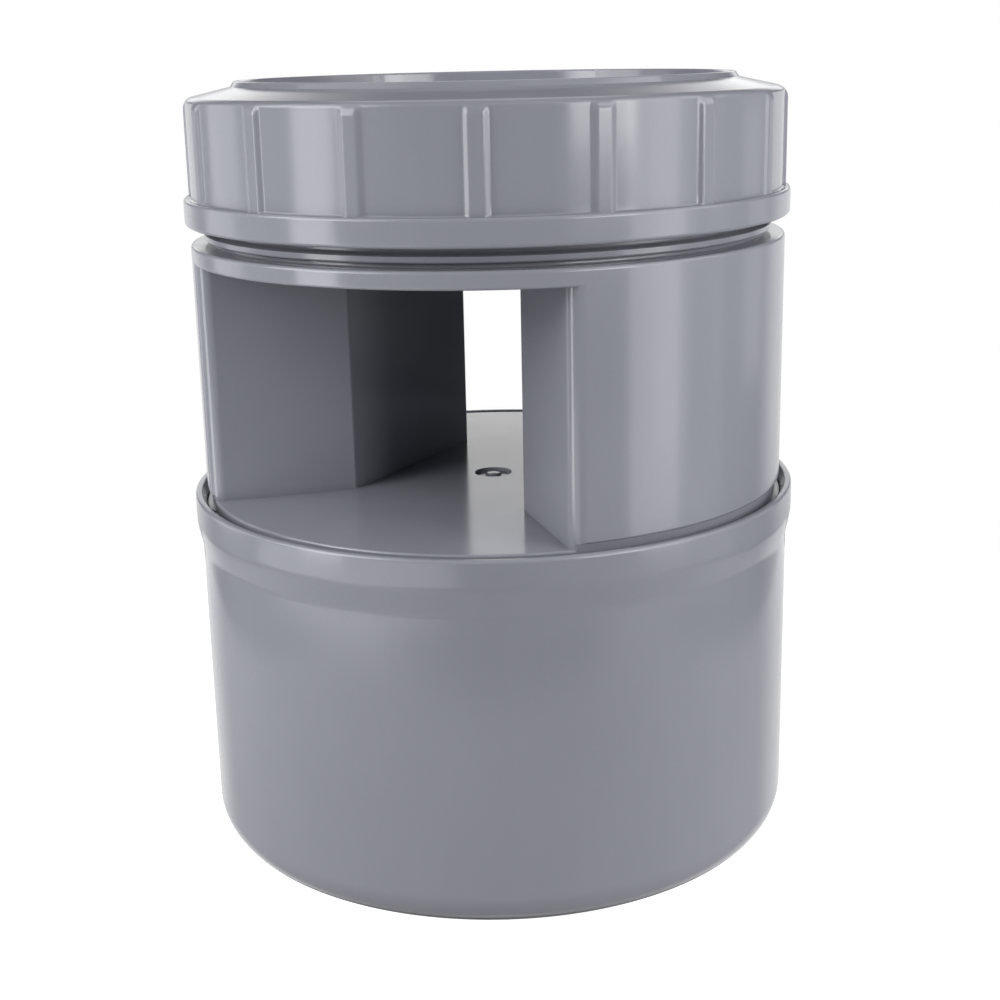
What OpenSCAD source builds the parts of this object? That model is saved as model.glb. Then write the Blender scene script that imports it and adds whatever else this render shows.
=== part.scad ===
// Air admittance valve for a soil and vent pipe.
// Millimetres, +Z up, axis on Z, spigot end at z = 0, air windows open along Y.

/* [Spigot] */
// outside diameter of the spigot that goes into the pipe socket
spigot_od = 110; // [106:1:116]
// wall of the spigot
spigot_wall = 4; // [3.6:0.1:4.6]
// height of the lower body with its rim
spigot_h = 65; // [55:1:90]
// height of the rounded lead-in at the lower end
lead_in_h = 5.4; // [3.4:0.1:8]
// depth of the rounded lead-in
lead_in_d = 2.4; // [1:0.1:2.8]
// height of the proud rim band
rim_h = 6.6; // [5.5:0.1:9]
// how far the rim stands proud of the spigot
rim_proud = 0.8; // [0.3:0.1:1.5]

/* [Windows and ducts] */
// height of the air windows
window_h = 42.3; // [25:0.1:60]
// angle that each closed duct takes up on the outside
duct_angle = 95.6; // [86:0.2:98]
// distance of the flat duct walls from the middle
throat_half = 17.4; // [15:0.2:20]
// half the length of the flat duct walls
throat_len = 20.8; // [18:0.2:21.6]
// wall of the ducts
duct_wall = 2.6; // [2:0.1:3]
// rounding of the upright duct edges
jamb_r = 2.6; // [1.6:0.2:4]
// thickness of the plate over the windows
plate_t = 3; // [2.4:0.1:4]

/* [Neck and cap] */
// exposed neck between plate and cap
neck_gap = 3.4; // [2.6:0.2:6]
// overall height of the screw cap
cap_h = 24.4; // [23.6:0.1:27]
// number of grip ribs
ribs = 17; // [8:1:24]
// width of a grip rib
rib_w = 3.2; // [1.5:0.1:5]
// depth of the sunken top
top_recess = 3.9; // [2:0.1:4.4]
// rise of the cap in one turn
thread_lead = 5; // [4.6:0.1:5.2]

/* [Valve] */
// radius of the air port
port_r = 28; // [26:0.5:28]
// height of the seat lip over the plate
seat_h = 4.3; // [4:0.1:4.6]
// lift of the valve disc
valve_lift = 8; // [5:0.1:8]

/* [Hidden] */
$fn = 96;
R = spigot_od / 2;
r_in = R - spigot_wall;
r_reb = R - 1.25;          // rebate that takes the deck flange
r_body = R - 1.5;          // outside of the middle section
z_deck = spigot_h;
z_plate = z_deck + window_h;
z_neck = z_plate + plate_t;
z_cap = z_neck + neck_gap;
z_top = z_cap + cap_h;
r_neck_in = R - 8.4;
r_neck = R - 5.4;
r_crest = R - 3.9;
z_neck_top = z_top - 7.2;
r_bore = R - 3.5;
r_panel = R - 2.1;
r_rib = R - 1.5;
r_flange = R - 0.7;
z_recess = z_top - top_recess;
z_ceil = z_recess - 2.4;
z_chan = z_top - 4.6;
z_seat = z_neck + seat_h;
half = duct_angle / 2;
pin_r = 3;
z_stop = z_ceil - 1.4;     // underside of the guide pin's head
z_hub = z_stop - valve_lift - 0.1;
seal_t = 1.6;
disc_r = port_r + 3.5;

function arc(cx, cy, r, a0, a1, n) = [for (i = [0 : n]) [cx + r * cos(a0 + (a1 - a0) * i / n), cy + r * sin(a0 + (a1 - a0) * i / n)]];

// one edge of a duct's plan: along the side wall, then round the upright corner
jamb_c = let(rc = r_body - jamb_r, b = half - asin(jamb_r / rc)) [rc * cos(b), rc * sin(b)];
jamb_v = jamb_c - [throat_half, throat_len];
side_a = atan2(jamb_v[1], jamb_v[0]) + asin(jamb_r / norm(jamb_v));
jamb_a = atan2(jamb_c[1], jamb_c[0]);
function jamb() = concat([[throat_half, throat_len]], arc(jamb_c[0], jamb_c[1], jamb_r, side_a + 90, jamb_a + 8, 8),
    [[2 * r_body * cos(jamb_a), 2 * r_body * sin(jamb_a)]]);
function low_side(p) = [for (i = [len(p) - 1 : -1 : 0]) [p[i][0], -p[i][1]]];

module duct_outside(z0, z1) {
    intersection() {
        translate([0, 0, z0]) cylinder(r = r_body, h = z1 - z0);
        translate([0, 0, z0]) linear_extrude(z1 - z0)
            polygon(concat(jamb(), low_side(jamb())));
    }
}

module duct_inside(z0, z1, r0, r1) {
    x0 = throat_half + duct_wall;
    far = 1.2 * r_body;
    function wall_y(x) = throat_len - duct_wall * cos(side_a) + (x - throat_half - duct_wall * sin(side_a)) * tan(side_a);
    intersection() {
        translate([0, 0, z0]) difference() {
            cylinder(r = r1, h = z1 - z0);
            if (r0 > 0) translate([0, 0, -1]) cylinder(r = r0, h = z1 - z0 + 2);
        }
        translate([0, 0, z0 - 0.5]) linear_extrude(z1 - z0 + 1)
            polygon([[x0, wall_y(x0)], [x0, -wall_y(x0)], [far, -wall_y(far)], [far, wall_y(far)]]);
    }
}

// helical ridge; side = 1 on the outside of a neck, -1 on the inside of a cap
module ridge(r_root, r_tip, z0, turns, foot, tip, side) {
    n = 40;
    steps = ceil(turns * n);
    ramp = 6;
    pts = [for (i = [0 : steps])
        let(a = 360 * i / n, k = min(1, i / ramp, (steps - i) / ramp),
            rt = r_root + (r_tip - r_root) * max(k, 0.04), rb = r_root - side * 0.7,
            z = z0 + thread_lead * i / n)
        each [[rb * cos(a), rb * sin(a), z - foot / 2], [rt * cos(a), rt * sin(a), z - tip / 2],
              [rt * cos(a), rt * sin(a), z + tip / 2], [rb * cos(a), rb * sin(a), z + foot / 2]]];
    sides = [for (i = [0 : steps - 1], j = [0 : 3])
        let(a = 4 * i + j, b = 4 * i + (j + 1) % 4, c = a + 4, d = b + 4)
        each (side > 0 ? [[a, b, d], [a, d, c]] : [[a, d, b], [a, c, d]])];
    e = 4 * steps;
    ends = side > 0 ? [[0, 3, 2], [0, 2, 1], [e, e + 1, e + 2], [e, e + 2, e + 3]]
                    : [[0, 2, 3], [0, 1, 2], [e, e + 2, e + 1], [e, e + 3, e + 2]];
    polyhedron(points = pts, faces = concat(sides, ends), convexity = 6);
}

module spigot_base() color([0.52, 0.53, 0.56]) {
    rr = R + rim_proud;
    ri = (lead_in_d * lead_in_d + lead_in_h * lead_in_h) / (2 * lead_in_d);
    rotate_extrude() polygon(concat(
        [[r_in, 0]], arc(R - ri, lead_in_h, ri, -asin(lead_in_h / ri), 0, 6),
        [[R, spigot_h - rim_h - 3], [rr, spigot_h - rim_h + 1.5]],
        arc(rr - 1, spigot_h - 1, 1, 0, 90, 5),
        [[R - 0.3, spigot_h - 0.12], [r_reb, spigot_h - 1.9], [r_reb, spigot_h - 4], [r_in, spigot_h - 4]]));
}

module valve_body() color([0.52, 0.53, 0.56]) {
    difference() {
        union() {
            // deck with the flange that sits in the rebate, and the skirt below it
            rotate_extrude() polygon([[0, z_deck - 4], [r_reb - 0.05, z_deck - 4], [r_reb - 0.05, z_deck - 2.1],
                [r_body - 0.15, z_deck - 2.1], [r_body - 0.15, z_deck - 0.3], [r_body - 0.45, z_deck], [0, z_deck]]);
            translate([0, 0, z_deck - 14]) difference() {
                cylinder(r = r_in - 0.1, h = 10.5);
                translate([0, 0, -1]) cylinder(r = r_in - 2.6, h = 13);
            }
            duct_outside(z_deck - 2.5, z_plate + 1);
            mirror([1, 0, 0]) duct_outside(z_deck - 2.5, z_plate + 1);
            // plate over the windows, seat lip and neck
            difference() {
                rotate_extrude() polygon(concat(
                    [[0, z_plate], [r_body - 0.4, z_plate], [r_body, z_plate + 0.4], [r_body, z_neck - 0.5], [r_body - 0.5, z_neck],
                     [r_neck, z_neck], [r_neck, z_neck_top - 0.6], [r_neck - 0.6, z_neck_top], [r_neck_in, z_neck_top], [r_neck_in, z_neck],
                     [port_r + 2.8, z_neck]],
                    [[port_r + 2.4, z_seat - 0.9]], arc(port_r + 1.5, z_seat - 0.9, 0.9, 0, 180, 6),
                    [[port_r, z_neck], [0, z_neck]]));
                intersection() {
                    translate([0, 0, z_plate - 1]) cylinder(r = port_r, h = plate_t + 2);
                    translate([-throat_half, -port_r - 1, z_plate - 1]) cube([2 * throat_half, 2 * port_r + 2, plate_t + 2]);
                }
            }
            // guide spider in the port
            translate([0, 0, z_plate - 3.3]) cylinder(r = 6, h = plate_t + 3.3);
            translate([-1.3, -port_r - 0.5, z_plate]) cube([2.6, 2 * port_r + 1, plate_t]);
            translate([-throat_half - 0.5, -1.3, z_plate]) cube([2 * throat_half + 1, 2.6, plate_t]);
            // collar bead under the cap, then the thread
            rotate_extrude() polygon([[r_neck - 1, z_neck + 0.6], [r_neck, z_neck + 0.6], [r_crest - 0.3, z_neck + 0.9], [r_crest, z_neck + 1.2],
                [r_crest, z_neck + 1.7], [r_crest - 0.3, z_neck + 2], [r_neck, z_neck + 2.3], [r_neck - 1, z_neck + 2.3]]);
            ridge(r_neck, r_crest, z_neck + neck_gap + 0.8, 2.5, 2.4, 1.1, 1);
        }
        for (m = [0, 1]) mirror([m, 0, 0]) {
            duct_inside(z_deck - 5, z_plate, 0, r_body - 3);
            duct_inside(z_plate - 0.5, z_neck + 1, port_r + 5, r_neck_in - 0.2);
        }
        translate([0, 0, z_plate - 4]) cylinder(r = pin_r, h = plate_t + 6);
        // shadow gap at the foot of the middle section, inside the rim
        translate([0, 0, z_deck - 1.9]) difference() {
            cylinder(r = r_body + 1, h = 2.9);
            translate([0, 0, -1]) cylinder(r = r_body - 0.7, h = 5);
        }
        // gate mark in the middle of the deck
        translate([0, 0, z_deck - 0.6]) difference() {
            cylinder(r = 3.3, h = 2);
            translate([0, 0, -1]) cylinder(r = 1.3, h = 1.4);
        }
    }
}

module insect_grille() color([0.2, 0.2, 0.21]) {
    t = 0.9;
    translate([0, 0, z_neck]) difference() {
        union() {
            for (i = [0 : 6]) difference() {
                cylinder(r = i == 6 ? port_r - 0.15 : 6.4 + i * (port_r - 8.2) / 6, h = t);
                translate([0, 0, -1]) cylinder(r = i == 0 ? 3.3 : 5.2 + i * (port_r - 8.2) / 6, h = t + 2);
            }
            for (i = [0 : 7]) rotate(22.5 + 45 * i) translate([5.6, -0.6, 0]) cube([port_r - 6.6, 1.2, t]);
        }
        translate([0, 0, -1]) cylinder(r = 3.3, h = t + 2);
    }
}

module guide_pin() color([0.85, 0.85, 0.82]) {
    rotate_extrude() polygon([[0, z_plate - 3.3], [pin_r - 0.5, z_plate - 3.3], [pin_r, z_plate - 2.8], [pin_r, z_stop],
        [5.2, z_stop], [5.2, z_stop + 0.6], [4.7, z_stop + 1.1], [0, z_stop + 1.1]]);
}

module valve_disc() color([0.85, 0.85, 0.83]) {
    z0 = z_seat + seal_t;
    difference() {
        union() {
            rotate_extrude() polygon([[0, z0], [disc_r - 0.4, z0], [disc_r, z0 + 0.4], [disc_r, z0 + 2.9], [disc_r - 0.5, z0 + 3.4],
                [disc_r - 1.6, z0 + 3.4], [disc_r - 2, z0 + 2.2], [0, z0 + 2.2]]);
            rotate_extrude() polygon([[0, z_seat - 2.6], [5.1, z_seat - 2.6], [5.5, z_seat - 2.2], [5.5, z_hub - 0.5], [5, z_hub], [0, z_hub]]);
            for (i = [0 : 5]) rotate(60 * i) translate([5, -0.8, z0 + 1.8]) cube([disc_r - 6.7, 1.6, 1.4]);
        }
        translate([0, 0, z_seat - 4]) cylinder(r = pin_r + 0.1, h = 30);
        for (i = [0 : 5]) rotate(60 * i + 30) translate([port_r - 5, 0, z0 - 1]) cylinder(r = 1.5, h = 5);
    }
}

module disc_seal() color([0.08, 0.08, 0.09]) {
    difference() {
        rotate_extrude() polygon([[port_r - 9, z_seat], [disc_r + 1.2, z_seat], [disc_r + 1.6, z_seat + 0.6], [disc_r + 1.2, z_seat + 1.2],
            [disc_r + 0.2, z_seat + seal_t], [port_r - 9, z_seat + seal_t]]);
        for (i = [0 : 5]) rotate(60 * i + 30) translate([port_r - 5, 0, z_seat - 1]) cylinder(r = 1.5, h = 5);
    }
}

module seal_clamp_ring() color([0.85, 0.85, 0.83]) {
    z0 = z_seat + seal_t + 2.2;
    rotate_extrude() polygon([[port_r - 9, z_seat - 1.8], [port_r - 1.6, z_seat - 1.8], [port_r - 1.2, z_seat - 1.4], [port_r - 1.2, z_seat], [port_r - 9, z_seat]]);
    for (i = [0 : 5]) rotate(60 * i + 30) translate([port_r - 5, 0, 0]) {
        translate([0, 0, z_seat - 0.5]) cylinder(r = 1.5, h = z0 - z_seat + 0.5);
        translate([0, 0, z0]) cylinder(r1 = 2.3, r2 = 1.6, h = 1);
    }
}

module cap_gasket() color([0.07, 0.07, 0.08]) {
    rotate_extrude() polygon([[r_neck_in + 0.1, z_neck_top], [r_neck, z_neck_top], [r_neck, z_chan], [r_neck_in + 0.1, z_chan]]);
}

module screw_cap() color([0.52, 0.53, 0.56]) {
    union() {
        rotate_extrude() polygon(concat(
            [[r_bore, z_cap], [r_flange - 0.5, z_cap], [r_flange, z_cap + 0.5], [r_flange, z_cap + 4.1], [r_flange - 0.5, z_cap + 4.6]],
            [[r_panel, z_cap + 4.6], [r_panel, z_top - 6.1], [r_rib, z_top - 5.2]],
            arc(r_rib - 2.4, z_top - 4.8, 2.4, 0, 77, 8),
            [[R - 10, z_top - 0.97], [R - 10.4, z_top - 0.7], [R - 10.6, z_top - 0.3], [R - 10.9, z_top], [R - 11.6, z_top], [R - 12, z_top - 0.4],
             [R - 12.2, z_recess + 0.6], [R - 12.8, z_recess], [0, z_recess], [0, z_ceil],
             [r_neck_in - 0.4, z_ceil], [r_neck_in - 0.4, z_chan], [r_neck + 0.4, z_chan], [r_bore, z_chan - 1.6]]));
        // grip ribs between the panels
        for (i = [0 : ribs - 1]) rotate(360 * i / ribs - 62.65) translate([r_panel - 0.8, -rib_w / 2, z_cap + 4])
            cube([r_rib - r_panel + 0.8, rib_w, z_top - 5 - z_cap - 4]);
        // three quarters of a turn on from the neck's thread and half a pitch off it
        rotate(270) ridge(r_bore, r_neck + 0.75, z_cap + 0.8 + thread_lead / 4, 2.25, 2.2, 1.1, -1);
    }
}

spigot_base();
valve_body();
insect_grille();
guide_pin();
valve_disc();
disc_seal();
seal_clamp_ring();
cap_gasket();
screw_cap();
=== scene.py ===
import math

import bmesh
import bpy
import numpy as np
from mathutils import Matrix, Vector


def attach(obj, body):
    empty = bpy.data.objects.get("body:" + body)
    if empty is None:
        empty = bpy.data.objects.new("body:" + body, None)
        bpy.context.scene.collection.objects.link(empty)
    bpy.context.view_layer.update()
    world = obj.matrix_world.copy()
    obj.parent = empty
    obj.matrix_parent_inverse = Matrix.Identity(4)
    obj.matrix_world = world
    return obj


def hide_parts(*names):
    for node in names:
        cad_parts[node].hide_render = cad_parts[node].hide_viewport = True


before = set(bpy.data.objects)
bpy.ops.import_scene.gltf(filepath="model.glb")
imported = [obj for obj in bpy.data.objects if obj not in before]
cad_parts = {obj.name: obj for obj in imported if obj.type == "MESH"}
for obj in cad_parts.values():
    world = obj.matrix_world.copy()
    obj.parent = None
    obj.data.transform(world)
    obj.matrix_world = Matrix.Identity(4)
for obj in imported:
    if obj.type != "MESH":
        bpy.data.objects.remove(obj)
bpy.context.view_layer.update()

scene = bpy.context.scene
scene.view_settings.view_transform = "Standard"

# ------------------------------------------------------------------ sizes, in millimetres, as in the CAD model
R = 55.0
R_IN, R_REB, R_BODY, R_FOOT = R - 4.0, R - 1.25, R - 1.5, R - 2.2
R_NECK_IN, R_NECK, R_CREST, R_BORE = R - 8.4, R - 5.4, R - 3.9, R - 3.5
R_PANEL, R_RIB, R_FLANGE = R - 2.1, R - 1.5, R - 0.7
Z_DECK, Z_PLATE, Z_NECK, Z_CAP, Z_TOP = 65.0, 107.3, 110.3, 113.7, 138.1
Z_NECK_TOP, Z_RECESS, Z_CHAN = Z_TOP - 7.2, Z_TOP - 3.9, Z_TOP - 4.6
Z_CEIL, Z_SEAT = Z_RECESS - 2.4, Z_NECK + 4.3
RIM_H, RIM_PROUD, LEAD_H, LEAD_D = 6.6, 0.8, 5.4, 2.4
HALF, THROAT, THROAT_LEN, WALL, JAMB = math.radians(95.6 / 2), 17.4, 20.8, 2.6, 2.6
PORT, RIBS, RIB_W = 28.0, 17, 3.2
RIB_PHASE = math.radians(-62.65)
SEG = 256
MM = 0.001


# ------------------------------------------------------------------ mesh helpers
def rounded(corners, step=0.30):
    """Closed outline from (x, y, radius) corners; each corner becomes an arc with points about every step radians."""
    out, n = [], len(corners)
    for i in range(n):
        p = np.array(corners[i][:2], float)
        r = corners[i][2] if len(corners[i]) > 2 else 0.0
        if r <= 0:
            out.append((p[0], p[1]))
            continue
        a = np.array(corners[i - 1][:2], float) - p
        b = np.array(corners[(i + 1) % n][:2], float) - p
        la, lb = np.linalg.norm(a), np.linalg.norm(b)
        a, b = a / la, b / lb
        ang = math.acos(max(-1.0, min(1.0, float(a @ b))))
        t = min(r / math.tan(ang / 2), 0.48 * la, 0.48 * lb)
        rad = t * math.tan(ang / 2)
        mid = (a + b) / np.linalg.norm(a + b)
        c = p + mid * rad / math.sin(ang / 2)
        v0, v1 = p + a * t - c, p + b * t - c
        a0, a1 = math.atan2(v0[1], v0[0]), math.atan2(v1[1], v1[0])
        d = (a1 - a0 + math.pi) % (2 * math.pi) - math.pi
        k = max(2, math.ceil(abs(d) / step))
        out += [(c[0] + rad * math.cos(a0 + d * j / k), c[1] + rad * math.sin(a0 + d * j / k)) for j in range(k + 1)]
    return out


def new_object(name, verts, faces):
    mesh = bpy.data.meshes.new(name)
    mesh.from_pydata([(x * MM, y * MM, z * MM) for x, y, z in verts], [], faces)
    bm = bmesh.new()
    bm.from_mesh(mesh)
    bmesh.ops.remove_doubles(bm, verts=bm.verts, dist=1e-8)
    bmesh.ops.recalc_face_normals(bm, faces=bm.faces)
    bm.to_mesh(mesh)
    bm.free()
    obj = bpy.data.objects.new(name, mesh)
    scene.collection.objects.link(obj)
    return obj


def lathe(name, outline, n=SEG, radius=None):
    """Turned body from a closed (r, z) outline; radius(th, r, z) may move a point in or out."""
    verts, rows, faces = [], [], []
    for r, z in outline:
        if r < 1e-6:
            rows.append([len(verts)] * n)
            verts.append((0, 0, z))
        else:
            rows.append(list(range(len(verts), len(verts) + n)))
            for j in range(n):
                th = 2 * math.pi * j / n
                rr = radius(th, r, z) if radius else r
                verts.append((rr * math.cos(th), rr * math.sin(th), z))
    m = len(rows)
    for i in range(m):
        a, b = rows[i], rows[(i + 1) % m]
        if a[0] == a[1] and b[0] == b[1]:
            continue
        for j in range(n):
            k = (j + 1) % n
            quad = [a[j], a[k], b[k], b[j]]
            faces.append([v for q, v in enumerate(quad) if v not in quad[:q]])
    return new_object(name, verts, faces)


def prism(name, outline, z0, z1):
    n = len(outline)
    verts = [(x, y, z0) for x, y in outline] + [(x, y, z1) for x, y in outline]
    faces = [list(range(n))[::-1], list(range(n, 2 * n))]
    faces += [[i, (i + 1) % n, n + (i + 1) % n, n + i] for i in range(n)]
    return new_object(name, verts, faces)


def cut(target, tool, how):
    """Joins tool to target, or takes it away, and removes tool."""
    mod = target.modifiers.new("cut", "BOOLEAN")
    mod.operation, mod.solver, mod.object = how, "MANIFOLD", tool
    bake(target)
    old = tool.data
    bpy.data.objects.remove(tool)
    bpy.data.meshes.remove(old)


def bake(obj):
    """Makes the modifiers' result the object's own mesh."""
    dg = bpy.context.evaluated_depsgraph_get()
    mesh = bpy.data.meshes.new_from_object(obj.evaluated_get(dg))
    obj.modifiers.clear()
    old, name = obj.data, obj.data.name
    obj.data = mesh
    bpy.data.meshes.remove(old)
    mesh.name = name


def finish_shading(obj, angle=32):
    obj.data.shade_smooth()
    obj.data.set_sharp_from_angle(angle=math.radians(angle))
    mod = obj.modifiers.new("normals", "WEIGHTED_NORMAL")
    mod.mode, mod.weight, mod.keep_sharp = "FACE_AREA", 50, True
    bake(obj)


def smooth(x):
    x = max(0.0, min(1.0, x))
    return x * x * (3 - 2 * x)


def helix(th, z, start, z0, turns, tip, foot, lead=5.0, ramp=0.15):
    """Height, from 0 to 1, of a screw ridge at angle th and height z."""
    best = 0.0
    base = ((th - start) / (2 * math.pi)) % 1.0
    for k in range(-1, 4):
        t = base + k
        if -0.02 <= t <= turns + 0.02:
            d = abs(z - z0 - lead * t)
            h = 1 - smooth((d - tip / 2) / (foot / 2 - tip / 2))
            best = max(best, h * smooth(min(t, turns - t) / ramp))
    return best


# ------------------------------------------------------------------ lower spigot
rr = R + RIM_PROUD
ri = (LEAD_D * LEAD_D + LEAD_H * LEAD_H) / (2 * LEAD_D)
turn = math.asin(LEAD_H / ri)
lead = [(R - ri + ri * math.cos(turn * i / 14 - turn), LEAD_H + ri * math.sin(turn * i / 14 - turn)) for i in range(1, 15)]
outline = rounded([(R_IN, 0, 0.5), (R - LEAD_D, 0, 0.4)] + lead + [
    (R, Z_DECK - RIM_H - 3.0, 8.0), (rr, Z_DECK - RIM_H + 1.5, 8.0),
    (rr, Z_DECK, 1.0), (R - 0.4, Z_DECK, 0.3), (R_REB, Z_DECK - 1.9, 0.2), (R_REB, Z_DECK - 4), (R_IN, Z_DECK - 4, 0.3)], 0.22)
spigot = lathe("spigot_shell", outline)
finish_shading(spigot)


# ------------------------------------------------------------------ valve body
def duct_lines():
    """Centre and angle of the rounded upright edge of a duct on +X, and the angle of its side wall."""
    rc = R_BODY - JAMB
    b = HALF - math.asin(JAMB / rc)
    cx, cy = rc * math.cos(b), rc * math.sin(b)
    dx, dy = cx - THROAT, cy - THROAT_LEN
    return cx, cy, b, math.atan2(dy, dx) + math.asin(JAMB / math.hypot(dx, dy))


def duct_plan():
    """Plan of one closed duct on +X: side walls, rounded upright edges, outer arc and eased inner corners."""
    cx, cy, b, side = duct_lines()
    a0, a1 = side + math.pi / 2, b
    arc = [(cx + JAMB * math.cos(a0 + (a1 - a0) * i / 12), cy + JAMB * math.sin(a0 + (a1 - a0) * i / 12)) for i in range(13)]
    cols = [j * 2 * math.pi / SEG for j in range(-SEG // 2, SEG // 2)]
    outer = [(R_BODY * math.cos(t), R_BODY * math.sin(t)) for t in reversed(cols) if abs(t) < b - 0.004]
    k = np.array((THROAT, THROAT_LEN))
    to_flat, to_side = np.array((0.0, -1.0)), np.array((math.cos(side), math.sin(side)))
    ang = math.acos(float(to_flat @ to_side))
    rad = 0.9
    t = rad / math.tan(ang / 2)
    mid = (to_flat + to_side) / np.linalg.norm(to_flat + to_side)
    c = k + mid * rad / math.sin(ang / 2)
    p0, p1 = k + to_flat * t, k + to_side * t
    q0, q1 = math.atan2(*(p0 - c)[::-1]), math.atan2(*(p1 - c)[::-1])
    d = (q1 - q0 + math.pi) % (2 * math.pi) - math.pi
    corner = [(c[0] + rad * math.cos(q0 + d * i / 5), c[1] + rad * math.sin(q0 + d * i / 5)) for i in range(6)]
    upper = corner + arc
    lower = [(x, -y) for x, y in reversed(upper)]
    return upper + outer + lower


def duct_void(r1, r0=0.0):
    """Plan of the hollow inside a duct, between radii r0 and r1."""
    side = duct_lines()[3]
    d = np.array((math.cos(side), math.sin(side)))
    p = np.array((THROAT + WALL * math.sin(side), THROAT_LEN - WALL * math.cos(side)))

    def on_wall(r):
        # angle of the point of the inner side wall at radius r
        q = p + d * (math.sqrt(float(p @ d) ** 2 - float(p @ p) + r * r) - float(p @ d))
        return math.atan2(q[1], q[0])

    lim = on_wall(r1)
    arc = [(r1 * math.cos(lim - 2 * lim * i / 64), r1 * math.sin(lim - 2 * lim * i / 64)) for i in range(65)]
    if r0 > 0:
        li = on_wall(r0)
        return arc + [(r0 * math.cos(-li + 2 * li * i / 48), r0 * math.sin(-li + 2 * li * i / 48)) for i in range(49)]
    x0 = THROAT + WALL
    y0 = p[1] + (x0 - p[0]) * math.tan(side)
    return arc + [(x0, -y0), (x0, y0)]


def mirrored(plan):
    return [(-x, y) for x, y in reversed(plan)]


# plate over the windows, seat lip, neck with its collar bead and thread
outline = rounded([
    (0, Z_PLATE), (R_BODY, Z_PLATE, 0.5), (R_BODY, Z_NECK, 0.6), (R_NECK, Z_NECK, 0.3),
    (R_NECK, Z_NECK_TOP, 0.6), (R_NECK_IN, Z_NECK_TOP, 0.4), (R_NECK_IN, Z_NECK, 0.4), (PORT + 2.8, Z_NECK, 0.3),
    (PORT + 2.4, Z_SEAT, 0.9), (PORT + 0.6, Z_SEAT, 0.9), (PORT, Z_NECK, 0), (0, Z_NECK)])
dense = []
for i, (r, z) in enumerate(outline):
    q = outline[(i + 1) % len(outline)]
    dense.append((r, z))
    if abs(r - R_NECK) < 0.02 and abs(q[0] - R_NECK) < 0.02 and q[1] - z > 5:
        k = math.ceil((q[1] - z) / 0.2)
        dense += [(R_NECK, z + (q[1] - z) * j / k) for j in range(1, k)]


def neck_radius(th, r, z):
    if abs(r - R_NECK) > 0.02 or not Z_NECK + 0.3 < z < Z_NECK_TOP - 0.3:
        return r
    bead = 1 - smooth((abs(z - Z_NECK - 1.45) - 0.45) / 0.5)
    ridge = helix(th, z, 0.0, Z_CAP + 0.8, 2.5, 1.1, 2.1)
    return r + (R_CREST - R_NECK) * max(bead, ridge)


body = lathe("valve_body_shell", dense, SEG, neck_radius)
port = [(THROAT, math.sqrt(PORT * PORT - THROAT * THROAT))]
lim = math.atan2(port[0][1], THROAT)
arc = [(PORT * math.cos(lim + (math.pi - 2 * lim) * i / 40), PORT * math.sin(lim + (math.pi - 2 * lim) * i / 40)) for i in range(41)]
cut(body, prism("port", arc + [(-x, -y) for x, y in arc], Z_PLATE - 1, Z_NECK + 0.001 + 1), "DIFFERENCE")

# guide spider with its hub
spider = lathe("hub", rounded([(0, Z_PLATE - 3.3), (6, Z_PLATE - 3.3, 0.5), (6, Z_NECK, 0.3), (0, Z_NECK)]), 96)
for w, d in ((1.3, PORT + 0.5), (THROAT + 0.5, 1.3)):
    cut(spider, prism("arm", [(-w, -d), (w, -d), (w, d), (-w, d)], Z_PLATE + 0.05, Z_NECK - 0.05), "UNION")
cut(body, spider, "UNION")

# deck with the flange in the rebate, skirt, gate mark
deck = lathe("deck", rounded([
    (0, Z_DECK - 4), (R_IN - 2.6, Z_DECK - 4, 0.4), (R_IN - 2.6, Z_DECK - 14, 0.5), (R_IN - 0.1, Z_DECK - 14, 0.5), (R_IN - 0.1, Z_DECK - 4, 0),
    (R_REB - 0.05, Z_DECK - 4, 0.2), (R_REB - 0.05, Z_DECK - 2.1, 0.15), (R_FOOT, Z_DECK - 2.1, 0.1), (R_FOOT, Z_DECK, 0.4),
    (3.5, Z_DECK, 0.15), (3.2, Z_DECK - 0.6, 0.1), (1.5, Z_DECK - 0.6, 0.1), (1.2, Z_DECK - 0.15, 0.2), (0, Z_DECK - 0.1)]))
cut(body, deck, "UNION")
for flip in (False, True):
    plan = duct_plan()
    cut(body, prism("duct", mirrored(plan) if flip else plan, Z_DECK - 2.5, Z_PLATE + 0.9), "UNION")
for flip in (False, True):
    low, high = duct_void(R_BODY - 3), duct_void(R_NECK_IN - 0.2, PORT + 5)
    cut(body, prism("hollow", mirrored(low) if flip else low, Z_DECK - 5, Z_PLATE), "DIFFERENCE")
    cut(body, prism("mouth", mirrored(high) if flip else high, Z_PLATE - 0.5, Z_NECK + 0.25), "DIFFERENCE")
# shadow gap at the foot of the ducts, inside the rim; the wall's lower edge is rounded
edge = [(R_BODY - 0.45 + 0.45 * math.cos(-math.pi / 2 * i / 6), Z_DECK + 1.45 + 0.45 * math.sin(-math.pi / 2 * i / 6)) for i in range(1, 7)]
gap = [(R_FOOT, Z_DECK - 1.9), (R_BODY + 1, Z_DECK - 1.9), (R_BODY + 1, Z_DECK + 1.6), (R_BODY + 0.02, Z_DECK + 1.6)] + edge + [(R_FOOT + 0.1, Z_DECK + 1.0), (R_FOOT, Z_DECK + 0.9)]
cut(body, lathe("foot_gap", gap), "DIFFERENCE")
cut(body, lathe("pin_hole", [(0, Z_PLATE - 4), (3, Z_PLATE - 4), (3, Z_NECK + 3), (0, Z_NECK + 3)], 96), "DIFFERENCE")
finish_shading(body)


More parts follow.
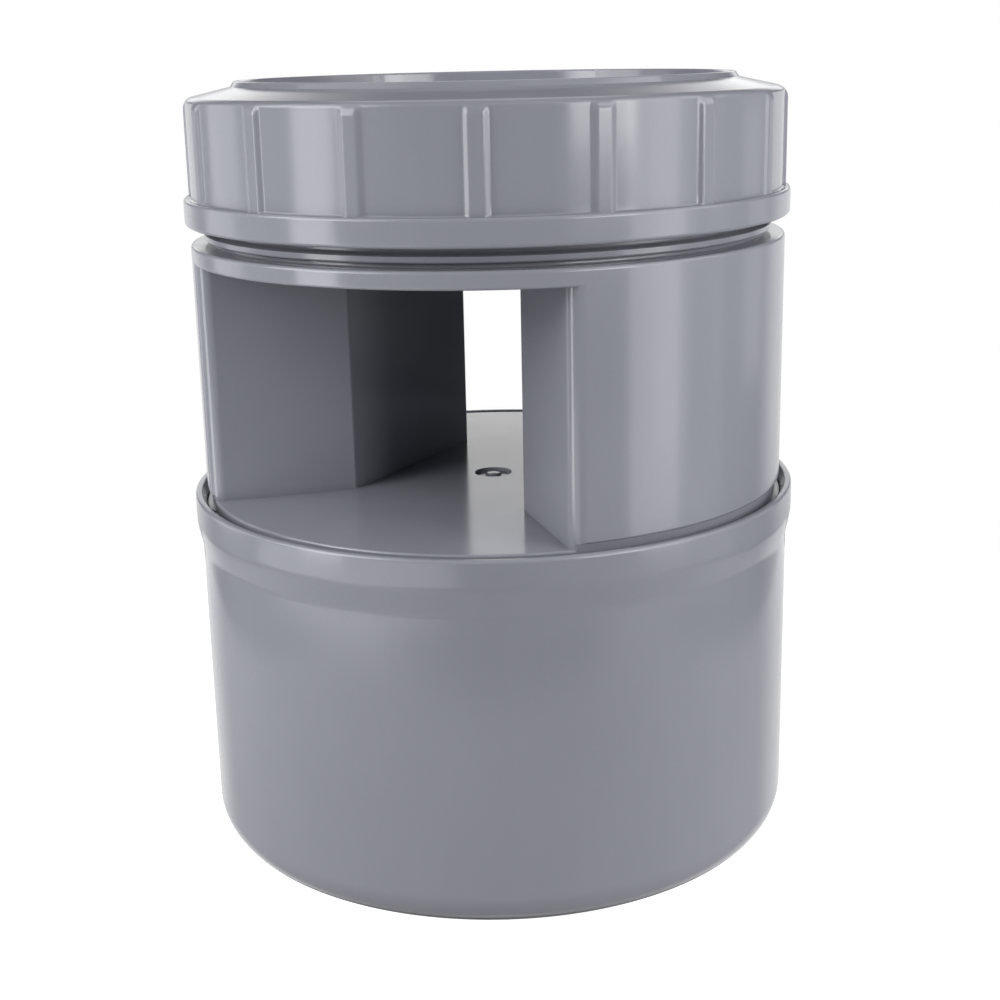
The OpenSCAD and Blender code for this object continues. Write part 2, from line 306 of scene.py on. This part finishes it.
# ------------------------------------------------------------------ screw cap
def cap_columns():
    """Angles of the cap's columns, close together on the flanks of the ribs, with the height of the rib there."""
    half = math.pi / RIBS
    marks = [0, 0.5, 0.82, 0.95, 1.1, 1.25, 1.4, 1.55, 1.7, 1.85, 2.0, 2.15, 2.3, 2.8, 3.8, 5.2, 6.8, 8.4]
    cols = []
    for i in range(RIBS):
        c = RIB_PHASE + 2 * math.pi * i / RIBS
        for u in [-m for m in reversed(marks[1:])] + marks:
            x = (abs(u) - (RIB_W / 2 - 0.65)) / 1.3
            cols.append((c + u / R_RIB, 1 - smooth(x)))
        cols.append((c + half, 0.0))
    return cols


def cap_mesh():
    rows = []          # r, z, then the share of the panels' depth and of the thread's height

    def add(points, p=0.0, t=0.0):
        for r, z in points:
            rows.append((r, z, p, t))

    # underside and flange, up to the foot of the panels and ribs
    low = rounded([(R_BORE, Z_CAP, 0.35), (R_FLANGE, Z_CAP, 0.7), (R_FLANGE, Z_CAP + 4.65, 0.55), (R_RIB - 4, Z_CAP + 4.65, 0), (R_BORE, Z_CAP + 2, 0)], 0.25)
    add([q for q in low if q[0] > R_RIB - 0.01 or q[1] < Z_CAP + 0.6 and q[0] > R_BORE - 0.5])
    # panels sunk between the ribs; their floor meets the flange in a small fillet and runs straight up into the shoulder
    depth = R_RIB - R_PANEL
    for i in range(5):
        a = math.pi / 2 * i / 4
        add([(R_RIB, Z_CAP + 4.65 + 0.35 * (1 - math.cos(a)))], math.sin(a))
    z0, z1 = Z_CAP + 5.0, Z_TOP - 4.8
    for i in range(1, 10):
        add([(R_RIB, z0 + (z1 - z0) * i / 10)], 1.0)
    # shoulder, where the panels run out over a soft edge
    for i in range(37):
        a = math.radians(77) * i / 36
        r = R_RIB - 2.4 + 2.4 * math.cos(a)
        h = min(1, max(0, 0.5 + (r - R_PANEL) / 0.5))
        floor = r + (R_PANEL - r) * h - 0.25 * h * (1 - h)
        add([(r, Z_TOP - 4.8 + 2.4 * math.sin(a))], (r - floor) / depth)
    # cone, rim and the sunken top with its gate mark
    edge = (r, Z_TOP - 4.8 + 2.4 * math.sin(a))
    top = rounded([
        edge, (R - 10.0, Z_TOP - 0.97, 0.12), (R - 10.7, Z_TOP, 0.4), (R - 11.75, Z_TOP, 0.4),
        (R - 12.2, Z_RECESS, 0.9), (3.6, Z_RECESS, 0.3), (3.2, Z_RECESS - 0.45, 0.2), (1.6, Z_RECESS - 0.45, 0.15),
        (1.3, Z_RECESS - 0.02, 0.2), (0.0, Z_RECESS + 0.05, 0)], 0.25)
    add(top[1:])
    # inside
    inside = rounded([
        (0, Z_CEIL, 0), (R_NECK_IN - 0.4, Z_CEIL, 0.4), (R_NECK_IN - 0.4, Z_CHAN, 0.15), (R_NECK + 0.4, Z_CHAN, 0.3), (R_BORE, Z_CHAN - 1.6, 0.3), (R_BORE, Z_CAP + 0.4, 0)], 0.3)
    add(inside[:-1])
    zt, zb = Z_CHAN - 2.2, Z_CAP + 0.6
    n = math.ceil((zt - zb) / 0.22)
    add([(R_BORE, zt - (zt - zb) * i / n) for i in range(n + 1)], 0.0, 1.0)

    cols = cap_columns()
    verts, index, faces = [], [], []
    tooth = R_BORE - (R_NECK + 0.75)
    for r, z, p, t in rows:
        if r < 1e-6:
            index.append([len(verts)] * len(cols))
            verts.append((0, 0, z))
            continue
        index.append(list(range(len(verts), len(verts) + len(cols))))
        for th, w in cols:
            a = r - depth * p * (1 - w)
            if t:
                a -= tooth * helix(th, z, math.radians(270), Z_CAP + 0.8 + 1.25, 2.25, 1.1, 1.9)
            verts.append((a * math.cos(th), a * math.sin(th), z))
    m, n = len(index), len(cols)
    for i in range(m):
        a, b = index[i], index[(i + 1) % m]
        if a[0] == a[1] and b[0] == b[1]:
            continue
        for j in range(n):
            q = (j + 1) % n
            quad = [a[j], a[q], b[q], b[j]]
            faces.append([v for s, v in enumerate(quad) if v not in quad[:s]])
    return new_object("screw_cap_shell", verts, faces)


cap = cap_mesh()
finish_shading(cap)

for obj, node, where in ((spigot, "spigot_base", "housing"), (body, "valve_body", "housing"), (cap, "screw_cap", "cap")):
    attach(obj, where)
    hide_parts(node)


# ------------------------------------------------------------------ materials
class Nodes:
    """Short way to write a node tree."""

    def __init__(self, name):
        self.mat = bpy.data.materials.new(name)
        self.mat.use_nodes = True
        self.tree = self.mat.node_tree
        self.bsdf = self.tree.nodes["Principled BSDF"]

    def add(self, kind, **values):
        node = self.tree.nodes.new(kind)
        for key, value in values.items():
            if hasattr(node, key):
                setattr(node, key, value)
            else:
                self.put(node.inputs[key], value)
        return node

    def put(self, socket, value):
        if isinstance(value, bpy.types.NodeSocket):
            self.tree.links.new(value, socket)
        else:
            socket.default_value = value

    def noise(self, vec, scale, detail=4.0, rough=0.55):
        n = self.add("ShaderNodeTexNoise")
        self.put(n.inputs["Vector"], vec)
        n.inputs["Scale"].default_value, n.inputs["Detail"].default_value, n.inputs["Roughness"].default_value = scale, detail, rough
        return n.outputs["Fac"]

    def remap(self, value, a, b, c, d):
        n = self.add("ShaderNodeMapRange")
        for i, v in enumerate((value, a, b, c, d)):
            self.put(n.inputs[i], v)
        return n.outputs[0]

    def math(self, how, a, b=0.0):
        n = self.add("ShaderNodeMath", operation=how)
        self.put(n.inputs[0], a)
        self.put(n.inputs[1], b)
        return n.outputs[0]

    def mix(self, fac, a, b):
        n = self.add("ShaderNodeMix", data_type="RGBA")
        self.put(n.inputs["Factor"], fac)
        self.put(n.inputs[6], a)
        self.put(n.inputs[7], b)
        return n.outputs[2]

    def bump(self, height, strength, distance, normal=None):
        n = self.add("ShaderNodeBump")
        n.inputs["Strength"].default_value, n.inputs["Distance"].default_value = strength, distance
        self.put(n.inputs["Height"], height)
        if normal is not None:
            self.put(n.inputs["Normal"], normal)
        return n.outputs[0]

    def place(self, scale=(1, 1, 1)):
        c = self.add("ShaderNodeTexCoord")
        m = self.add("ShaderNodeMapping")
        self.put(m.inputs["Vector"], c.outputs["Object"])
        m.inputs["Scale"].default_value = scale
        return m.outputs[0]


def plastic(name, colour, spread, rough, grain, peel, wear=0.4, specular=0.5):
    """Moulded plastic: slow colour drift, flow streaks, fine speckle, painted shade darkening the hollows, paler rubbed
    edges, uneven gloss with fine handling marks, and bump from mould grain and a faint orange peel."""
    t = Nodes(name)
    at, streak = t.place(), t.place((1, 1, 0.22))
    drift = t.noise(at, 28, 3)
    flow = t.noise(streak, 95, 5, 0.6)
    speck = t.noise(at, 2600, 2)
    dark = tuple(c * (1 - spread) for c in colour) + (1,)
    light = tuple(min(1, c * (1 + spread)) for c in colour) + (1,)
    tone = t.math("ADD", t.math("MULTIPLY", drift, 0.5), t.math("ADD", t.math("MULTIPLY", flow, 0.3), t.math("MULTIPLY", speck, 0.2)))
    base = t.mix(t.remap(tone, 0.3, 0.7, 0, 1), dark, light)
    # painted shade: the colour darkens in the hollows and creases, by ambient occlusion
    shade_ao = t.add("ShaderNodeAmbientOcclusion", samples=4)
    shade_ao.inputs["Distance"].default_value = 0.0022
    hollow = t.remap(shade_ao.outputs["AO"], 0.35, 0.95, 1, 0)
    base = t.mix(t.math("MULTIPLY", hollow, 0.4), base, tuple(c * 0.5 for c in colour) + (1,))
    # convex edges, broken up, where handling has rubbed the surface
    ins = t.add("ShaderNodeAmbientOcclusion", samples=4, inside=True, only_local=True)
    ins.inputs["Distance"].default_value = 0.0006
    chafe = t.remap(t.noise(at, 520, 5, 0.65), 0.36, 0.62, 0.25, 1)
    edge = t.math("MULTIPLY", t.remap(ins.outputs["AO"], 0.55, 0.9, 1, 0), chafe)
    base = t.mix(t.math("MULTIPLY", edge, wear), base, tuple(min(1, c * 1.3 + 0.03) for c in colour) + (1,))
    t.put(t.bsdf.inputs["Base Color"], base)
    rub = t.remap(t.noise(t.place((1, 1, 9)), 130, 6, 0.7), 0.52, 0.78, 0, 0.05)
    gloss = t.math("ADD", t.remap(t.noise(at, 70, 4), 0.3, 0.7, -0.02, 0.02), t.math("ADD", rub, t.math("MULTIPLY", edge, 0.06)))
    t.put(t.bsdf.inputs["Roughness"], t.math("ADD", gloss, rough))
    fine = t.bump(t.noise(at, 1500, 3), grain, 0.00008)
    t.put(t.bsdf.inputs["Normal"], t.bump(t.noise(at, 110, 2), peel, 0.0004, fine))
    t.bsdf.inputs["IOR"].default_value = 1.5
    t.bsdf.inputs["Specular IOR Level"].default_value = specular
    return t.mat


pvc = plastic("pvc_grey", (0.243, 0.249, 0.284), 0.05, 0.15, 0.06, 0.05)
black = plastic("grille_black", (0.030, 0.030, 0.033), 0.2, 0.42, 0.2, 0.05)
white = plastic("disc_white", (0.66, 0.66, 0.62), 0.04, 0.36, 0.1, 0.06, 0.2)
acetal = plastic("guide_white", (0.72, 0.71, 0.66), 0.03, 0.26, 0.06, 0.04, 0.2)
rubber = plastic("rubber_black", (0.018, 0.018, 0.019), 0.25, 0.62, 0.5, 0.1, 0.3, 0.3)

for obj in (spigot, body, cap):
    obj.data.materials.clear()
    obj.data.materials.append(pvc)
for node, mat in (("insect_grille", black), ("guide_pin", acetal), ("valve_disc", white), ("seal_clamp_ring", white), ("disc_seal", rubber), ("cap_gasket", rubber)):
    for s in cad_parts[node].material_slots:
        s.material = mat


# ------------------------------------------------------------------ camera, at the photograph's viewing angle
az, dist, height, pitch, roll, yaw = math.radians(28.95), 0.30214, 0.14353, math.radians(15.557), math.radians(1.224), math.radians(0.2185)
right0, fwd0, up = Vector((math.cos(az), math.sin(az), 0)), Vector((-math.sin(az), math.cos(az), 0)), Vector((0, 0, 1))
side, ahead = right0 * math.cos(yaw) - fwd0 * math.sin(yaw), fwd0 * math.cos(yaw) + right0 * math.sin(yaw)
look, up0 = ahead * math.cos(pitch) - up * math.sin(pitch), ahead * math.sin(pitch) + up * math.cos(pitch)
r, u, b = side * math.cos(roll) - up0 * math.sin(roll), side * math.sin(roll) + up0 * math.cos(roll), -look
loc = -fwd0 * dist + up * height
cam = bpy.data.objects.new("camera", bpy.data.cameras.new("camera"))
scene.collection.objects.link(cam)
cam.matrix_world = Matrix(((r.x, u.x, b.x, loc.x), (r.y, u.y, b.y, loc.y), (r.z, u.z, b.z, loc.z), (0, 0, 0, 1)))
cam.data.sensor_width, cam.data.lens, cam.data.clip_start = 36, 59.082, 0.01
scene.camera = cam


# ------------------------------------------------------------------ floor and light
def place(side, back, z):
    """Point at a distance to the camera's right, away from the camera and up."""
    return right0 * side + fwd0 * back + up * z


n = 96
floor_pts = [(0.2 * math.cos(2 * math.pi * i / n), 0.2 * math.sin(2 * math.pi * i / n), 0.0) for i in range(n)]
mesh = bpy.data.meshes.new("floor")
mesh.from_pydata(floor_pts, [], [list(range(n))])
floor = bpy.data.objects.new("floor", mesh)
scene.collection.objects.link(floor)
floor.visible_diffuse = floor.visible_glossy = False
t = Nodes("floor_white")
t.bsdf.inputs["Base Color"].default_value = (0.5, 0.5, 0.5, 1)
t.bsdf.inputs["Roughness"].default_value = 0.9
t.bsdf.inputs["Emission Color"].default_value = (1, 1, 1, 1)
t.bsdf.inputs["Emission Strength"].default_value = 0.92
mesh.materials.append(t.mat)

# light backdrop behind the part, dim room elsewhere; the camera sees plain white all round
world = bpy.data.worlds.new("studio")
scene.world = world
world.use_nodes = True
tree = world.node_tree


def wnode(kind, links=(), **values):
    node = tree.nodes.new(kind)
    for key, value in values.items():
        setattr(node, key, value)
    for k, v in links:
        if isinstance(v, bpy.types.NodeSocket):
            tree.links.new(v, node.inputs[k])
        else:
            node.inputs[k].default_value = v
    return node.outputs


def ramp(value, a, b, c, d):
    return wnode("ShaderNodeMapRange", [(0, value), (1, a), (2, b), (3, c), (4, d)], interpolation_type="SMOOTHSTEP")[0]


def wmath(how, a, b):
    return wnode("ShaderNodeMath", [(0, a), (1, b)], operation=how)[0]


# a bright patch straight behind and above the horizon, a dimmer band round it that darkens towards the floor
PATCH, BAND, ROOM = 1.65, 0.9, 0.004
where = wnode("ShaderNodeTexCoord")["Generated"]
facing = wnode("ShaderNodeVectorMath", [(0, where), (1, fwd0)], operation="DOT_PRODUCT")["Value"]
aside = wnode("ShaderNodeVectorMath", [(0, where), (1, fwd0 * 0.9976 + right0 * 0.0698)], operation="DOT_PRODUCT")["Value"]
height = wnode("ShaderNodeSeparateXYZ", [(0, where)])["Z"]
level = wmath("POWER", wmath("SUBTRACT", 1.0, wmath("MULTIPLY", height, height)), 0.5)
turned, turned_right = wmath("DIVIDE", facing, level), wmath("DIVIDE", aside, level)
patch = wmath("MULTIPLY", ramp(turned, 0.88, 0.95, 0.0, PATCH), wmath("MULTIPLY", ramp(height, 0.05, 0.14, 0.0, 1.0), ramp(height, 0.19, 0.46, 1.0, 0.0)))
band = wmath("MULTIPLY", ramp(turned_right, 0.60, 0.84, 0.0, BAND), wmath("MULTIPLY", ramp(height, -0.34, -0.22, 0.5, 1.0), ramp(height, 0.0, 0.12, 1.0, 0.0)))
power = wmath("MAXIMUM", wmath("MAXIMUM", patch, band), ROOM)
power = wmath("MAXIMUM", power, wnode("ShaderNodeLightPath")["Is Camera Ray"])
back = tree.nodes["Background"]
back.inputs[0].default_value = (1, 1, 1, 1)
tree.links.new(power, back.inputs[1])


def softbox(name, angle, dist, bottom, size, radiance, aim=None, tint=(1, 1, 1)):
    """Soft box round the part, upright or aimed at a height; angle in degrees from the camera's side, to its right."""
    a = math.radians(angle)
    where = -fwd0 * dist * math.cos(a) + right0 * dist * math.sin(a) + up * (bottom + size[1] / 2)
    light = bpy.data.lights.new(name, "AREA")
    light.shape, light.size, light.size_y, light.color = "RECTANGLE", size[0], size[1], tint
    light.energy = radiance * math.pi * size[0] * size[1]
    obj = bpy.data.objects.new(name, light)
    scene.collection.objects.link(obj)
    obj.location = where
    obj.rotation_euler = (Vector((0, 0, where.z if aim is None else aim)) - where).to_track_quat("-Z", "Y").to_euler()
    obj.visible_camera = False


def floor_light(name, angle, dist, size, radiance):
    """Light that comes up from the floor."""
    softbox(name, angle, dist, 0.0, size, radiance)
    obj = bpy.data.objects[name]
    obj.location.z = 0.0008
    obj.rotation_euler = (math.pi, 0, az + math.radians(angle))


softbox("left_strip", -59, 0.24, 0.005, (0.068, 0.20), 4.38)
softbox("left_wide_strip", -52, 0.36, 0.005, (0.11, 0.20), 0.23)
softbox("left_back_strip", -105, 0.24, 0.005, (0.085, 0.20), 1.13)
softbox("left_high", -66, 0.45, 0.17, (0.42, 0.36), 4.4, 0.09)
softbox("left_top", -90, 0.34, 0.42, (0.34, 0.30), 1.0, 0.09)
softbox("right_strip", 57, 0.24, 0.005, (0.086, 0.20), 2.62)
softbox("right_wide_strip", 66, 0.36, 0.005, (0.11, 0.20), 0.76)
softbox("right_side_strip", 78, 0.24, 0.005, (0.086, 0.20), 0.40)
softbox("right_front", 41, 0.50, 0.10, (0.22, 0.24), 6.3)
softbox("right_low_front", 40, 0.50, 0.05, (0.20, 0.10), 0.33)
softbox("right_near", 70, 0.24, 0.18, (0.26, 0.20), 2.3, 0.11)
softbox("right_back_strip", 111, 0.36, 0.022, (0.088, 0.10), 0.5)
softbox("front_top", 45, 0.34, 0.42, (0.34, 0.30), 0.55, 0.09)
softbox("back_top", 180, 0.34, 0.42, (0.34, 0.30), 0.8, 0.09)
floor_light("floor_under", 0, 0.0, (0.30, 0.30), 0.53)
floor_light("floor_left", -50, 0.30, (0.30, 0.24), 1.55)
floor_light("floor_right", 50, 0.30, (0.30, 0.24), 0.36)
